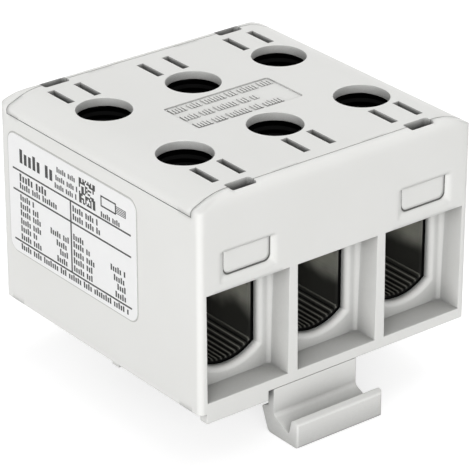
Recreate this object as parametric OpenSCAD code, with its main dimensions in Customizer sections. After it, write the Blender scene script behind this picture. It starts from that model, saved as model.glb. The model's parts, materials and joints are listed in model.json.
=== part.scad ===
// Three-pole feed-through terminal block for aluminium and copper conductors.
// A tub-shaped housing holds three metal clamping bodies, each with a cable
// way right through it and two clamping screws.  A snapped-on cover closes the
// tub and leaves a hole over each screw.  A sliding clip under the front and a
// fixed hook under the back hold the block on a 35 mm rail.
//
// Origin: centre of the housing's flat underside.  +X runs along the row of
// poles, -Y is the end with the sliding clip, +Z is up.

/* [Housing] */
// Distance from one pole to the next
pole_pitch = 19.65; // [19.2:0.05:24]
// Thickness of the two side walls
side_wall_t = 1.45; // [1:0.05:2]
// Thickness of the dividers between the poles
divider_t = 1.75; // [1.2:0.05:2]
// Depth of the housing, from one cable end to the other
body_d = 58.4; // [56:0.2:80]
// Height of the housing from its underside to the top of the cover
body_h = 40.1; // [38:0.1:50]
// Thickness of the end walls above the cable entries
end_wall_t = 2.2; // [2.2:0.1:3]
// Thickness of the floor
floor_t = 2; // [1.6:0.1:2.8]
// Radius of the four upright corners
corner_r = 1.1; // [0.5:0.1:3]
// Radius along the top edge of the end walls
top_edge_r = 2; // [0.5:0.1:2.2]

/* [Shoulders] */
// Width of the sloping shoulder along each side of the top
shoulder_w = 4.8; // [3.6:0.1:6]
// Slope of the shoulder
shoulder_angle = 23; // [14:1:26]
// Radius that blends the shoulder into the flat top
shoulder_r = 12; // [4:0.5:14]
// Radius between the side wall and the shoulder
brow_r = 1; // [0.4:0.1:1.5]

/* [Cable entries] */
// Height of the sill under each entry
sill_h = 2; // [1.5:0.1:3.2]
// Height of the entry recess
entry_h = 20.5; // [19:0.1:22]
// Depth of the entry recess
entry_d = 5.2; // [3:0.1:8]
// How much narrower the recess is at its sill than at its top
entry_draft = 0.4; // [0:0.05:1]
// Radius of the recess's two rear corners
entry_r = 1; // [0.4:0.1:2]
// Thickness of the walls behind and over the recess
entry_wall_t = 1.5; // [1.2:0.1:2.5]
// Radius of the lip around the opening in the recess's rear wall
lip_r = 1; // [0.4:0.1:1.1]

/* [Clamping bodies] */
// Width of the cable way
way_w = 11; // [9:0.1:11.4]
// Height of the cable way from the lowest line of its floor
way_h = 12.95; // [12:0.05:13.5]
// Radius of the cable way's hollowed floor
way_floor_r = 9.2; // [9:0.1:20]
// Lowest line of the cable way above the housing's underside
way_z = 5.25; // [5.05:0.05:5.8]
// Chamfer around the two mouths of the cable way
mouth_chamfer = 0.3; // [0.1:0.05:0.5]
// Width of the metal face that shows around the cable way
rim_w = 0.85; // [0.6:0.05:1]
// Width of each clamping body
metal_w = 14.2; // [14:0.1:14.6]
// Thickness of the metal under the cable way
metal_floor_t = 2.3; // [1.8:0.1:2.8]
// Radius along the clamping body's four long edges
metal_edge_r = 2; // [1.6:0.1:2.4]
// Gap between the top of a clamping body and the cover
metal_head_gap = 0.4; // [0.3:0.05:0.8]
// Number of grip grooves along the floor of the cable way
groove_count = 11; // [3:2:11]
// Distance between grip grooves
groove_pitch = 1; // [0.8:0.05:1]
// Depth of the grip grooves
groove_depth = 0.45; // [0.2:0.05:0.6]
// Gap between a clamping body and the plastic around it
metal_gap = 0.1; // [0.05:0.05:0.3]

/* [Clamping screws] */
// Outer diameter of the screw thread
screw_d = 10; // [8:0.5:11]
// Length of the screw
screw_l = 18; // [14:0.5:20]
// Distance from a screw's axis to the nearer end of its clamping body
screw_inset = 10.7; // [9:0.1:12]
// Distance across the flats of the hexagon socket
socket_af = 5; // [4:0.5:6]
// Depth of the hexagon socket
socket_depth = 5.5; // [3:0.5:8]
// Clearance between thread and threaded hole, on the radius
thread_clearance = 0.05; // [0.02:0.01:0.1]
// Depth of the screw head below the top of the cover, with the clamp open
screw_sink = 5.8; // [5:0.1:7]

/* [Cover] */
// Thickness of the cover
cover_t = 1.65; // [1.2:0.05:1.9]
// Height of the side parting line below the top
parting_drop = 3.35; // [3:0.05:5]
// Width of the joint that shows between cover and housing
joint_gap = 0.15; // [0.05:0.05:0.3]
// Clearance of a screwdriver hole over the screw thread, on the radius
access_clearance = 0.1; // [0.05:0.05:0.4]
// Chamfer around the rim of a screwdriver hole
access_chamfer = 0.1; // [0.05:0.05:0.4]
// Width of the narrow slots beside each hole
vent_w = 1.5; // [0.8:0.1:2]
// Length of the narrow slots
vent_l = 6.5; // [4:0.1:8]
// Distance from the end of the housing to the nearer end of a slot
vent_inset = 5.2; // [4.6:0.1:6]
// Distance between the two slots of a pair
vent_spacing = 5.7; // [4:0.1:8]
// Width of the notches for prising the cover off
pry_w = 5.4; // [3:0.1:8]
// Size of a prising notch across the joint
pry_d = 2.4; // [1.6:0.1:2.6]
// Depth of the prising notches
pry_h = 2.5; // [1:0.1:3]
// Corner radius of the prising notches
pry_r = 0.55; // [0.2:0.05:0.75]
// Length of the shallow marking pocket in the middle of the cover
pocket_l = 23.4; // [10:0.2:26]
// Distance between the marking pocket and the screwdriver holes beside it
pocket_gap = 1.4; // [1:0.1:4]
// Depth of the marking pocket
pocket_d = 0.25; // [0.1:0.05:0.5]
// Corner radius of the marking pocket
pocket_r = 0.6; // [0.2:0.1:1]

/* [Cover latches] */
// Width of the windows that the cover's catches fill
latch_w = 10.1; // [6:0.1:12]
// Height of the windows
latch_h = 4.8; // [3:0.1:6]
// Height of the window's lower edge above the entry recess
latch_rise = 2.45; // [2.2:0.05:4]
// Radius of the window's two lower corners
latch_r = 1.2; // [0.5:0.1:1.4]
// Gap between a catch and its window
latch_gap = 0.15; // [0.1:0.05:0.3]
// Gap under a catch, which lets it snap home
latch_play = 0.3; // [0.2:0.05:0.5]
// Depth of the dish around each window
dish_d = 0.5; // [0.3:0.05:0.7]
// Distance from the window to the rim of the dish, beside and below it
dish_margin = 1.2; // [0.9:0.1:1.5]
// Radius that softens the rim and the floor of the dish
dish_r = 0.8; // [0.3:0.1:1.2]
// How far the catch lies behind the floor of the dish
latch_sink = 0.1; // [0:0.05:0.3]
// Thickness of the latch arm
latch_arm_t = 1.4; // [1:0.1:2]
// Height of the cover's locating lips inside the side walls
cover_lip_h = 2.5; // [1:0.1:3]
// Thickness of the cover's locating lips
cover_lip_t = 1; // [0.8:0.05:1.2]

/* [Rail fixing] */
// Width of the rail between its two edges
rail_w = 35; // [34:0.5:36]
// Play between the rail and the two hooks
rail_play = 0.4; // [0.2:0.1:1]
// Depth of the rail seat below the housing's underside
seat_drop = 1.9; // [1.8:0.1:2.5]
// Thickness of the rail that the hooks leave room for
rail_t = 1.6; // [1:0.1:2]
// Depth of the feet below the housing's underside
foot_drop = 9.05; // [8.5:0.05:12]
// Thickness of the foot strips and ribs under the housing
rib_t = 1.9; // [1.2:0.1:3]
// Distance of the foot strips from the sides of the housing
rib_inset = 1.5; // [1:0.1:3]
// Distance between the front foot strip and the clip
foot_gap = 1.2; // [0.4:0.1:4]
// Distance of the middle rib from the front of the housing
mid_rib_y = 25.5; // [25.5:0.1:30]
// Width of the fixed hook at the back
hook_w = 30; // [10:1:40]
// Thickness of the fixed hook
hook_t = 2.2; // [1.5:0.1:3]
// Reach of the fixed hook under the rail
hook_reach = 1.8; // [1:0.1:2.5]

/* [Sliding clip] */
// Width of the clip
clip_w = 18.5; // [14:0.5:24]
// Distance of the clip's middle from the middle of the housing
clip_x = -4.75; // [-6:0.25:6]
// Thickness of the clip's upright plate
clip_plate_t = 1.5; // [1.2:0.1:2]
// How far the pull lip stands out from the housing
clip_reach = 6.5; // [5.5:0.1:9]
// Thickness of the pull lip
clip_lip_t = 1.6; // [1.2:0.1:2.2]
// Height of the pull lip above the bottom of the clip
clip_lip_h = 5; // [3.6:0.1:6]
// How far the pull lip runs past the right side of the plate
clip_lip_over = 0.95; // [0.4:0.05:2]
// Radius of the pull lip's upright edge on the right
clip_lip_r = 0.9; // [0.3:0.1:1]
// Thickness of the bottom of the pull channel
clip_floor_t = 1.9; // [1.4:0.1:3]
// Rise of the channel floor from the pull lip to the plate
clip_floor_rise = 1.8; // [1:0.1:2.5]
// Reach of the clip's nose under the rail
nose_reach = 1.8; // [1:0.1:2.5]
// Slope of the nose's upper face, from its root to its tip
nose_slope = 0.9; // [0.4:0.1:1.2]
// Length of the tongue that guides the clip
tongue_l = 22.5; // [18:0.5:23]
// Width of the tongue's thick middle
tongue_core_w = 12; // [8:0.5:12]
// Thickness of the tongue's two side wings
tongue_wing_t = 0.9; // [0.7:0.05:1]
// Gap all round the tongue in its guides
guide_gap = 0.1; // [0.05:0.05:0.2]
// Thickness of the guides' outer walls
guide_t = 1.4; // [1:0.1:2]
// How far the clip can be pulled out
clip_travel = 4; // [2:0.5:4]
// Width of the stop on the tongue
stop_w = 4; // [2:0.5:8]
// Length of the stop on the tongue
stop_l = 2; // [1:0.5:4]
// Height of the stop on the tongue
stop_h = 0.9; // [0.5:0.1:1]

/* [Label] */
// Length of the label on the left side
label_l = 38.3; // [20:0.1:45]
// Height of the label
label_h = 23.2; // [10:0.2:24]
// Thickness of the label
label_t = 0.15; // [0.1:0.05:0.3]
// Corner radius of the label
label_r = 2; // [0.5:0.5:4]
// Distance of the label from the back of the housing
label_back = 2.55; // [2:0.05:8]
// Height of the label's lower edge above the underside
label_z = 10.6; // [2:0.1:12]

/* [Hidden] */
$fn = 96;

// Three poles, numbered from the left
poles = [-1, 0, 1];
ends = [-1, 1];
latched_poles = [-1, 1];
plastic = [0.89, 0.89, 0.88];
metal = [0.32, 0.32, 0.29];
screw_steel = [0.2, 0.2, 0.19];
paper = [0.96, 0.96, 0.96];
// Overlap that makes cuts run clear of the faces they open
cut = 1;

entry_w = pole_pitch - divider_t;
body_w = len(poles) * pole_pitch - divider_t + 2 * side_wall_t;
half_w = body_w / 2;
half_d = body_d / 2;
inner_d = body_d - 2 * end_wall_t;
parting_z = body_h - parting_drop;
brow_z = body_h - shoulder_w * tan(shoulder_angle);

entry_top = sill_h + entry_h;
cell_d = body_d - 2 * (entry_d + entry_wall_t);
rim_half = way_w / 2 + rim_w;
opening_r = way_floor_r + rim_w;
opening_z = way_z - rim_w;
opening_top = way_z + way_h + rim_w;

metal_z = way_z - metal_floor_t;
metal_l = cell_d - 2 * metal_gap;
screw_y = metal_l / 2 - screw_inset;
metal_top = body_h - cover_t - metal_head_gap;
way_top = way_z + way_h;
thread_r = screw_d / 2 + thread_clearance;
screw_top = body_h - screw_sink;
screw_chamfer = 0.8;
dome_h = 1.4;
// Radius of a sphere whose cap is as wide as the tip and dome_h high
tip_half = screw_d / 2 - screw_chamfer;
dome_r = (tip_half * tip_half + dome_h * dome_h) / (2 * dome_h);
access_r = screw_d / 2 + access_clearance;
pocket_half = screw_y - access_r - pocket_gap;

latch_z = entry_top + latch_rise;
latch_top = latch_z + latch_h;
rib_w = (entry_w - metal_w) / 2 - metal_gap;
metal_rib_y = cell_d / 4;
metal_rib_top = parting_z - cover_lip_h - rib_t;

clip_front = -half_d;
plate_back = clip_front + clip_plate_t;
wing_half = clip_w / 2 - guide_t;
wing_z = -guide_gap - tongue_wing_t;
tongue_back = plate_back + tongue_l;
guide_front = plate_back + clip_travel;
stop_back = tongue_back - stop_l;
hook_y = plate_back + rail_w + rail_play;
hook_z = -seat_drop - rail_t - rail_play / 2;
// Radii along the edges of the hook and the clip, at outer and inner corners
edge_r = 0.4;
fillet_r = 1;
// Run and drop of the slopes beside the pull lip
lip_root = 0.8;
lip_slope = 0.35;

function unit(v) = v / norm(v);

// Corner i of an outline as [corner, unit vector back, unit vector ahead, half of its angle]
function corner(points, i) =
    let (n = len(points), p = points[i],
         u = unit(points[(i + n - 1) % n] - p),
         v = unit(points[(i + 1) % n] - p))
    [p, u, v, acos(u * v) / 2];

// Points where a corner of radius r leaves its two sides
function tangents(c, r) =
    r == 0 ? [c[0]]
           : [c[0] + c[1] * r / tan(c[3]), c[0] + c[2] * r / tan(c[3])];

function is_outward(points, i) =
    let (n = len(points), p = points[i])
    cross(p - points[(i + n - 1) % n], points[(i + 1) % n] - p) > 0;

// Outline through the points, counter-clockwise, each corner rounded by its own radius
module rounded_outline(points, radii) {
    last = len(points) - 1;
    difference() {
        union() {
            polygon([for (i = [0:last]) each tangents(corner(points, i), radii[i])]);
            for (i = [0:last])
                if (radii[i] > 0 && is_outward(points, i))
                    corner_piece(corner(points, i), radii[i]);
        }
        for (i = [0:last])
            if (radii[i] > 0 && !is_outward(points, i))
                corner_piece(corner(points, i), radii[i]);
    }
}

// The sector of the corner circle between its two tangent points
module corner_piece(c, r) {
    centre = c[0] + unit(c[1] + c[2]) * r / sin(c[3]);
    t = tangents(c, r);
    intersection() {
        translate(centre) circle(r = r);
        polygon([t[0], c[0], t[1], centre]);
    }
}

// Outline across X and Z, carried along Y from y0 to y1
module along_y(y0, y1) {
    translate([0, y1, 0]) rotate([90, 0, 0]) linear_extrude(y1 - y0) children();
}

// Outline across Y and Z, carried along X from x0 to x1
module along_x(x0, x1) {
    translate([x0, 0, 0]) rotate([90, 0, 90]) linear_extrude(x1 - x0) children();
}

// Outline across X and Y, carried up from z0 to z1
module along_z(z0, z1) {
    translate([0, 0, z0]) linear_extrude(z1 - z0) children();
}

// Box from its lowest to its highest corner
module box(low, high) {
    translate(low) cube(high - low);
}

// Both ends of the block: children() made for the front are turned to the back as well
module at_both_ends() {
    for (turn = [0, 180]) rotate([0, 0, turn]) children();
}

// Cross-section of the block with its two shoulders, drawn inset by t all round the top
module shoulder_section(t) {
    w = half_w - t;
    top = body_h - t;
    flat = half_w - shoulder_w - t * tan(shoulder_angle / 2);
    brow = top - (w - flat) * tan(shoulder_angle);
    r = shoulder_r - t;
    rounded_outline(
        [[-w, -cut], [w, -cut], [w, brow], [flat, top], [-flat, top], [-w, brow]],
        [0, 0, brow_r, r, r, brow_r]);
}

// Side view of the block, its top edges rounded over the end walls
module end_section() {
    rounded_outline(
        [[-half_d, 0], [half_d, 0], [half_d, body_h], [-half_d, body_h]],
        [0, 0, top_edge_r, top_edge_r]);
}

module plan_outline() {
    rounded_outline(
        [[-half_w, -half_d], [half_w, -half_d], [half_w, half_d], [-half_w, half_d]],
        [corner_r, corner_r, corner_r, corner_r]);
}

// The block's outer form, housing and cover together
module block_form() {
    intersection() {
        along_y(-half_d, half_d) shoulder_section(0);
        along_x(-half_w, half_w) end_section();
        along_z(0, body_h) plan_outline();
    }
}

// Recess in front of one pole's cable way, at the front end
module entry_recess() {
    inner = -half_d + entry_d;
    top_half = entry_w / 2;
    sill_half = top_half - entry_draft / 2;
    intersection() {
        along_y(-half_d - cut, inner)
            polygon([[-sill_half, sill_h], [sill_half, sill_h],
                     [top_half, entry_top], [-top_half, entry_top]]);
        along_z(0, body_h)
            rounded_outline(
                [[-top_half, -half_d - 2 * cut], [top_half, -half_d - 2 * cut],
                 [top_half, inner], [-top_half, inner]],
                [0, 0, entry_r, entry_r]);
    }
}

// Section through an edge of the opening: all that lies below the edge at height
// reach, flaring out by the lip where it meets the recess at v = 0
module flared_edge(start, reach) {
    deep = entry_wall_t + cut;
    difference() {
        translate([start, -deep]) square([reach + lip_r - start, deep + cut]);
        translate([reach, -deep - cut]) square([lip_r + cut, deep + cut - lip_r]);
        translate([reach + lip_r, -lip_r]) circle(r = lip_r);
    }
}

// Opening from the recess to the clamping body, its four flared edges meeting in mitres
module entry_opening() {
    face = -half_d + entry_d;
    half = rim_half + lip_r;
    intersection() {
        along_z(0, body_h)
            translate([0, face]) intersection() {
                mirror([0, 1]) flared_edge(-half, rim_half);
                rotate(180) flared_edge(-half, rim_half);
            }
        along_x(-half - cut, half + cut)
            translate([face, 0]) rotate(90) flared_edge(0, opening_top);
        translate([0, face, opening_z + opening_r]) rotate([90, 0, 0])
            rotate_extrude() flared_edge(0, opening_r);
    }
}

// Window in the end wall for a catch of the cover, at the front end
module latch_outline(side_gap, low_gap) {
    half = latch_w / 2 - side_gap;
    low = latch_z + low_gap;
    high = latch_top - side_gap;
    rounded_outline(
        [[-half, low], [half, low], [half, high], [-half, high]],
        [latch_r, latch_r, 0, 0]);
}

// Shallow dish with sloping sides around a latch window, at the front end
module latch_dish() {
    face = -half_d;
    back = face + dish_d;
    half = latch_w / 2;
    rim = half + dish_margin;
    low = latch_z - dish_margin;
    intersection() {
        along_z(0, latch_top)
            rounded_outline(
                [[-rim, face - cut], [rim, face - cut], [rim, face], [half, back],
                 [-half, back], [-rim, face]],
                [0, 0, dish_r, dish_r, dish_r, dish_r]);
        along_x(-rim, rim)
            rounded_outline(
                [[face - cut, low], [face, low], [back, latch_z], [back, body_h],
                 [face - cut, body_h]],
                [0, dish_r, dish_r, 0, 0]);
    }
}

// Notch across the joint between cover and end wall, at the front end
module pry_notch() {
    middle = -half_d + end_wall_t + joint_gap / 2;
    along_z(body_h - pry_h, body_h + cut)
        rounded_outline(
            [[-pry_w / 2, middle - pry_d / 2], [pry_w / 2, middle - pry_d / 2],
             [pry_w / 2, middle + pry_d / 2], [-pry_w / 2, middle + pry_d / 2]],
            [pry_r, pry_r, pry_r, pry_r]);
}

// Space under the cover behind a prising notch, through the root of the latch arm
module pry_undercut() {
    box([-pry_w / 2, -half_d, body_h - pry_h],
        [pry_w / 2, -inner_d / 2 + latch_gap + latch_arm_t + cut, body_h - cover_t]);
}

// Inside of the housing around one pole
module pole_cell() {
    half = entry_w / 2;
    over_entry = entry_top + entry_wall_t;
    box([-half, -cell_d / 2, floor_t], [half, cell_d / 2, body_h]);
    box([-half, -inner_d / 2, over_entry], [half, inner_d / 2, body_h]);
}

// Ledges and upright ribs that hold one clamping body in its cell
module metal_supports() {
    half = entry_w / 2;
    for (end = ends) {
        box([-half, end * metal_rib_y - rib_t / 2, 0],
            [half, end * metal_rib_y + rib_t / 2, metal_z]);
        for (side = ends)
            translate([side * (half - rib_w / 2), end * metal_rib_y, metal_rib_top / 2])
                cube([rib_w, rib_t, metal_rib_top], center = true);
    }
}

// The fixed hook that takes the rear edge of the rail
module rear_hook() {
    back = hook_y + hook_t;
    tip = hook_y - hook_reach;
    toe = foot_drop + hook_z;
    along_x(-hook_w / 2, hook_w / 2)
        rounded_outline(
            [[hook_y, cut], [hook_y, hook_z], [tip, hook_z - nose_slope / 2],
             [tip, hook_z - toe / 3], [hook_y, -foot_drop], [back, -foot_drop], [back, cut]],
            [0, edge_r / 2, edge_r, fillet_r, edge_r, fillet_r, 0]);
}

// One of the two guides that carry the clip's tongue, on the right of its middle
module clip_guide() {
    web = wing_half + guide_gap;
    ledge = tongue_core_w / 2 + guide_gap;
    back = tongue_back + guide_gap;
    box([web, guide_front, -seat_drop], [web + guide_t, back, floor_t / 2]);
    box([ledge, guide_front, -seat_drop], [web + guide_t, back, wing_z - guide_gap]);
}

// Strips and ribs under the floor that meet the rail
module underside_ribs() {
    left = -half_w + rib_inset;
    right = half_w - rib_inset;
    clip_left = clip_x - clip_w / 2 - foot_gap;
    guide_right = clip_x + wing_half + guide_t;
    rear = hook_y - hook_reach;
    box([left, -half_d, -seat_drop], [clip_left, -half_d + rib_t, floor_t / 2]);
    box([guide_right, guide_front, -seat_drop], [right, guide_front + rib_t, floor_t / 2]);
    box([left, -half_d + mid_rib_y, -seat_drop],
        [right, -half_d + mid_rib_y + rib_t, floor_t / 2]);
    box([left + 2 * rib_t, rear - rib_t, -seat_drop], [right, rear, floor_t / 2]);
}

// Space in the floor for the stop on the clip's tongue, over its whole travel
module stop_pocket() {
    half = stop_w / 2 + guide_gap;
    box([clip_x - half, stop_back - clip_travel - guide_gap, -cut],
        [clip_x + half, tongue_back + guide_gap, stop_h + guide_gap]);
}

module base_housing() color(plastic) {
    difference() {
        union() {
            difference() {
                block_form();
                for (pole = poles) translate([pole * pole_pitch, 0, 0]) pole_cell();
                box([-half_w - cut, -inner_d / 2, parting_z], [half_w + cut, inner_d / 2, body_h + cut]);
            }
            for (pole = poles) translate([pole * pole_pitch, 0, 0]) metal_supports();
            rear_hook();
            for (side = [0, 1]) translate([clip_x, 0, 0]) mirror([side, 0, 0]) clip_guide();
            underside_ribs();
        }
        stop_pocket();
        at_both_ends() {
            for (pole = poles)
                translate([pole * pole_pitch, 0, 0]) {
                    entry_recess();
                    entry_opening();
                }
            for (pole = latched_poles)
                translate([pole * pole_pitch, 0, 0]) {
                    along_y(-half_d - cut, -inner_d / 2 + cut) latch_outline(0, 0);
                    latch_dish();
                    pry_notch();
                }
        }
    }
}

// One latch of the cover at the front end: a springy arm with a catch on its outer face
module cover_latch() {
    face = -inner_d / 2 + latch_gap;
    half = latch_w / 2 - latch_gap;
    box([-half, face, latch_z + latch_play - latch_gap],
        [half, face + latch_arm_t, body_h - cover_t / 2]);
    along_y(-half_d + dish_d + latch_sink, face + latch_arm_t / 2)
        latch_outline(latch_gap, latch_play);
}

// Locating lip of the cover inside the left side wall
module cover_lip() {
    outer = -half_w + side_wall_t + joint_gap;
    intersection() {
        box([outer, -cell_d / 2, parting_z - cover_lip_h],
            [outer + cover_lip_t, cell_d / 2, body_h]);
        along_y(-half_d, half_d) shoulder_section(cover_t / 2);
    }
}

// Hole that leads a key to one screw, with a chamfered rim
module access_hole() {
    translate([0, 0, parting_z]) cylinder(r = access_r, h = parting_drop + cut);
    translate([0, 0, body_h - access_chamfer])
        cylinder(r1 = access_r, r2 = access_r + access_chamfer + cut, h = access_chamfer + cut);
}

// Shallow pocket for markings in the middle of the cover
module marking_pocket() {
    x = pocket_l / 2;
    y = pocket_half;
    along_z(body_h - pocket_d, body_h + cut)
        rounded_outline([[-x, -y], [x, -y], [x, y], [-x, y]],
                        [pocket_r, pocket_r, pocket_r, pocket_r]);
}

module top_cover() color(plastic) {
    cover_half = inner_d / 2 - joint_gap;
    difference() {
        union() {
            difference() {
                intersection() {
                    block_form();
                    box([-half_w, -cover_half, parting_z + joint_gap], [half_w, cover_half, body_h]);
                }
                along_y(-half_d, half_d) shoulder_section(cover_t);
            }
            for (side = [0, 1]) mirror([side, 0, 0]) cover_lip();
            at_both_ends()
                for (pole = latched_poles) translate([pole * pole_pitch, 0, 0]) cover_latch();
        }
        for (pole = poles)
            for (end = ends)
                translate([pole * pole_pitch, end * screw_y, 0]) access_hole();
        at_both_ends() {
            for (pole = poles)
                for (side = ends)
                    translate([pole * pole_pitch + side * vent_spacing / 2,
                               -half_d + vent_inset + vent_l / 2, body_h])
                        cube([vent_w, vent_l, 2 * cover_t + cut], center = true);
            for (pole = latched_poles)
                translate([pole * pole_pitch, 0, 0]) {
                    pry_notch();
                    pry_undercut();
                }
        }
        marking_pocket();
    }
}

// Outline of the cable way with grip grooves along its hollowed floor
module way_outline() {
    half = way_w / 2;
    floor_centre = way_z + way_floor_r;
    middle = (groove_count - 1) / 2;
    intersection() {
        translate([-half, 0]) square([way_w, way_top]);
        translate([0, floor_centre]) circle(r = way_floor_r);
    }
    for (i = [0:groove_count - 1]) {
        x = (i - middle) * groove_pitch;
        z = floor_centre - sqrt(way_floor_r * way_floor_r - x * x);
        wide = groove_pitch * 0.4;
        polygon([[x, z - groove_depth], [x + wide, z + groove_depth], [x - wide, z + groove_depth]]);
    }
}

// Chamfer around the cable way's mouth, at the front end
module way_mouth() {
    half = way_w / 2;
    face = -metal_l / 2;
    inner = face + mouth_chamfer;
    wide = mouth_chamfer + cut;
    intersection() {
        along_z(0, body_h)
            polygon([[-half - wide, face - cut], [half + wide, face - cut],
                     [half, inner], [-half, inner]]);
        along_x(-half_w, half_w)
            polygon([[face - cut, 0], [inner, 0], [inner, way_top], [face - cut, way_top + wide]]);
        translate([0, face - cut, way_z + way_floor_r]) rotate([-90, 0, 0])
            cylinder(r1 = way_floor_r + wide, r2 = way_floor_r, h = wide);
    }
}

// Clamping body: a tall metal block with a cable way along it and two threaded holes
module clamping_body() color(metal) {
    half = metal_w / 2;
    difference() {
        along_y(-metal_l / 2, metal_l / 2)
            difference() {
                rounded_outline(
                    [[-half, metal_z], [half, metal_z], [half, metal_top], [-half, metal_top]],
                    [metal_edge_r, metal_edge_r, metal_edge_r, metal_edge_r]);
                way_outline();
            }
        at_both_ends() way_mouth();
        for (end = ends)
            translate([0, end * screw_y, way_top - cut])
                cylinder(r = thread_r, h = metal_top - way_top + 2 * cut);
    }
}

// Clamping screw: a threaded plug with a hexagon socket and a domed tip
module clamping_screw() color(screw_steel) {
    r = screw_d / 2;
    difference() {
        rotate_extrude()
            intersection() {
                polygon([[0, 0], [r - screw_chamfer, 0], [r, -screw_chamfer],
                         [r, -screw_l + dome_h + screw_chamfer], [tip_half, -screw_l + dome_h],
                         [tip_half, -screw_l], [0, -screw_l]]);
                translate([0, dome_r - screw_l]) union() {
                    circle(r = dome_r);
                    translate([0, dome_h - dome_r]) square([r, screw_l]);
                }
            }
        translate([0, 0, -socket_depth])
            cylinder(d = socket_af / cos(30), h = socket_depth + cut, $fn = 6);
    }
}

// Sliding clip: pull channel in front, nose under the rail and a guided tongue behind
module rail_clip() color(plastic) {
    front = clip_front - clip_reach;
    lip_back = front + clip_lip_t;
    low = -foot_drop;
    nose_z = hook_z;
    nose_tip = plate_back + nose_reach;
    top = -guide_gap;
    left = -clip_w / 2;
    right = clip_w / 2;
    past = right + clip_lip_over;
    translate([clip_x, 0, 0]) {
        intersection() {
            along_x(left, past)
                rounded_outline(
                    [[front, low], [plate_back, low], [nose_tip, nose_z - nose_slope],
                     [plate_back, nose_z], [plate_back, top], [clip_front, top],
                     [clip_front, low + clip_floor_t + clip_floor_rise],
                     [lip_back + lip_root, low + clip_floor_t],
                     [lip_back, low + clip_lip_h], [front, low + clip_lip_h - lip_slope]],
                    [edge_r, fillet_r, edge_r, edge_r / 2, 0, 0, fillet_r, edge_r, edge_r, edge_r]);
            along_z(low, top)
                rounded_outline(
                    [[left, front], [past, front], [past, lip_back], [right, lip_back],
                     [right, nose_tip], [left, nose_tip]],
                    [edge_r, clip_lip_r, edge_r, edge_r, 0, 0]);
        }
        box([-tongue_core_w / 2, plate_back - cut, -seat_drop + guide_gap],
            [tongue_core_w / 2, tongue_back, top]);
        box([-wing_half, plate_back - cut, wing_z], [wing_half, tongue_back, top]);
        box([-stop_w / 2, stop_back, top - tongue_wing_t], [stop_w / 2, tongue_back, stop_h]);
    }
}

module side_label() color(paper) {
    back = half_d - label_back;
    front = back - label_l;
    top = label_z + label_h;
    along_x(-half_w - label_t, -half_w)
        rounded_outline(
            [[front, label_z], [back, label_z], [back, top], [front, top]],
            [label_r, label_r, label_r, label_r]);
}

module terminal(pole) {
    translate([pole * pole_pitch, 0, 0]) clamping_body();
}

module screw(pole, end) {
    translate([pole * pole_pitch, end * screw_y, screw_top]) clamping_screw();
}

base_housing();
top_cover();
terminal(-1);  // terminal_left
terminal(0);  // terminal_middle
terminal(1);  // terminal_right
screw(-1, -1);  // screw_left_front
screw(-1, 1);  // screw_left_rear
screw(0, -1);  // screw_middle_front
screw(0, 1);  // screw_middle_rear
screw(1, -1);  // screw_right_front
screw(1, 1);  // screw_right_rear
rail_clip();
side_label();
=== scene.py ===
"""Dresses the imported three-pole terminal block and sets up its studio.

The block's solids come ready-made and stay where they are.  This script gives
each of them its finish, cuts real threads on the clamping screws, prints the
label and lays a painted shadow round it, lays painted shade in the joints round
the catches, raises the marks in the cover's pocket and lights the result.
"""

from __future__ import annotations

import json
import logging
import math
from dataclasses import dataclass
from enum import Enum
from typing import Callable, Mapping, Sequence

import bpy
from bpy.types import Material, Node, NodeSocket, NodeTree, Object
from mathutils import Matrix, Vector


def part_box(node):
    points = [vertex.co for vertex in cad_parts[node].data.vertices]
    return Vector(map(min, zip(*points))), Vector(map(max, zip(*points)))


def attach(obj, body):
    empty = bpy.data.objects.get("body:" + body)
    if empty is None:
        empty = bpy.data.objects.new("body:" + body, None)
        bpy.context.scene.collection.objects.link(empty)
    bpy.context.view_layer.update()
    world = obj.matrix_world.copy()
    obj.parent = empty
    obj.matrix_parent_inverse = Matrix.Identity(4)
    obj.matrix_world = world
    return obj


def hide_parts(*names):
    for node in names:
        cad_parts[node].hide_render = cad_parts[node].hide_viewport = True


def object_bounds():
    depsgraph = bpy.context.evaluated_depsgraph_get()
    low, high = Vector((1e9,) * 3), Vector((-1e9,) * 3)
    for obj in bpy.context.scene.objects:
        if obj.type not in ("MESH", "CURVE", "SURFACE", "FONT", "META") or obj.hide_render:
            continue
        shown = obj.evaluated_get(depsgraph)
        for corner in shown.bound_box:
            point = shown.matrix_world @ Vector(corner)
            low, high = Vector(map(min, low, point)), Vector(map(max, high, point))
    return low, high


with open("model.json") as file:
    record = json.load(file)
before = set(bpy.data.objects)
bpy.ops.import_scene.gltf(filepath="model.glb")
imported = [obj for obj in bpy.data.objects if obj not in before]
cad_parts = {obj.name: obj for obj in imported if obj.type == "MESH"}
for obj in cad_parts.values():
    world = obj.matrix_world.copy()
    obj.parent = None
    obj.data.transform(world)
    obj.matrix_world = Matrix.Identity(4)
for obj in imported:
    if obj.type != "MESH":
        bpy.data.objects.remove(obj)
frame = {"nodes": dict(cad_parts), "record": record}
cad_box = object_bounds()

log = logging.getLogger("terminal_block")

Colour = tuple[float, float, float, float]
Point = tuple[float, float, float]
Spot = tuple[float, float]
Face = tuple[int, ...]

MM = 0.001
POLE_PITCH_MM = 19.65
# Rays that look for edges and recesses from each spot
LOOKING_RAYS = 8
# Inputs of a Mix node for its two colours, and the output that gives the mixed colour
FIRST, SECOND, MIXED = 6, 7, 2
# Inputs of a Mix node for its two plain values
FIRST_VALUE, SECOND_VALUE = 2, 3
POLES = ("left", "middle", "right")
ENDS = ("front", "rear")


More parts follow.
